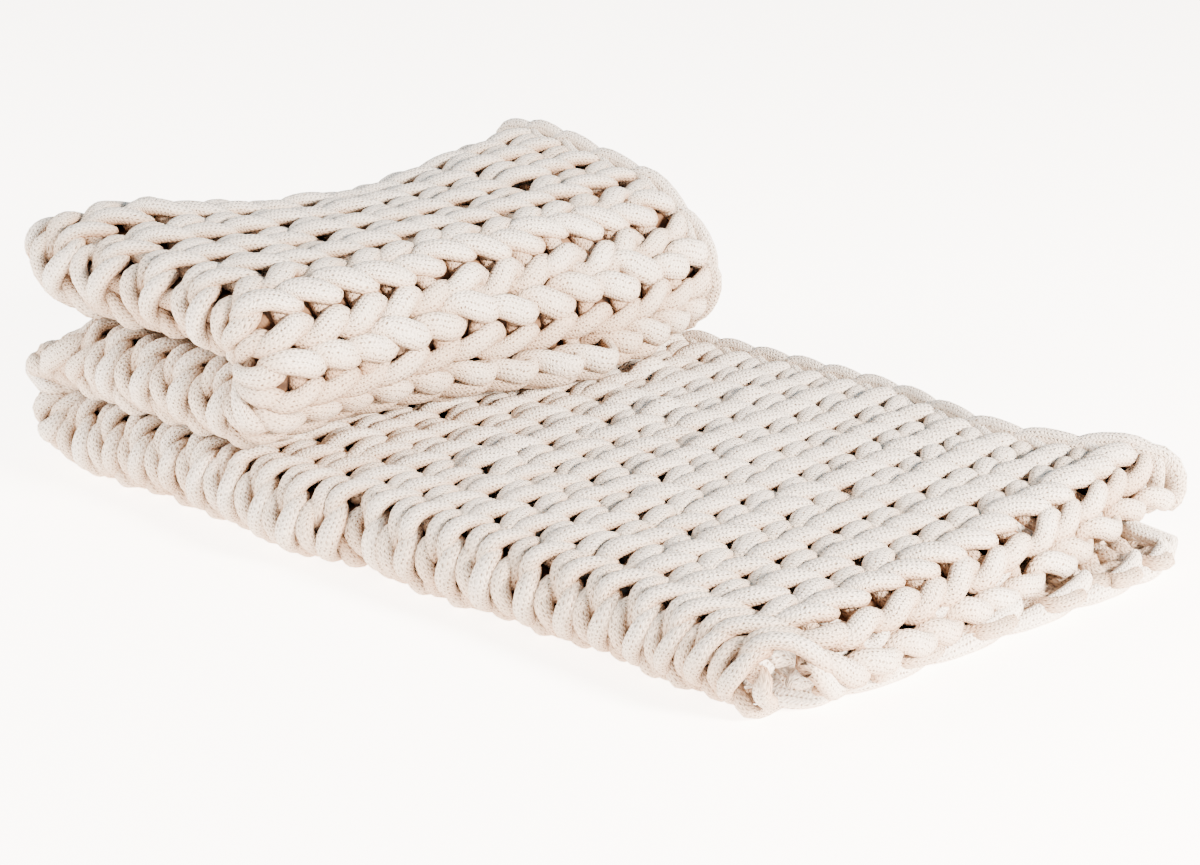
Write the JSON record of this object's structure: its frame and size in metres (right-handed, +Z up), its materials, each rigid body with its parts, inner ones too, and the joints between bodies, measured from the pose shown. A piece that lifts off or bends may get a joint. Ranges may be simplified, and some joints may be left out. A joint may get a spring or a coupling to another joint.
{
  "type": "chunky knit throw blanket",
  "caption": "Chunky knit cotton throw, rolled in three across its width and zigzagged in three along its length, lying flat with one run left open.",
  "frame": {"origin": "middle of the footprint, on the surface the throw rests on", "axes": "+X along the strip to the open end of its lowest run, -Y to the rounded near edge, +Z up"},
  "size_m": [0.7796, 0.4486, 0.208],
  "materials": {
    "knit": "matte undyed cotton cord"
  },
  "bodies": {
    "root": {"blanket": "knit"}
  },
  "joints": []
}
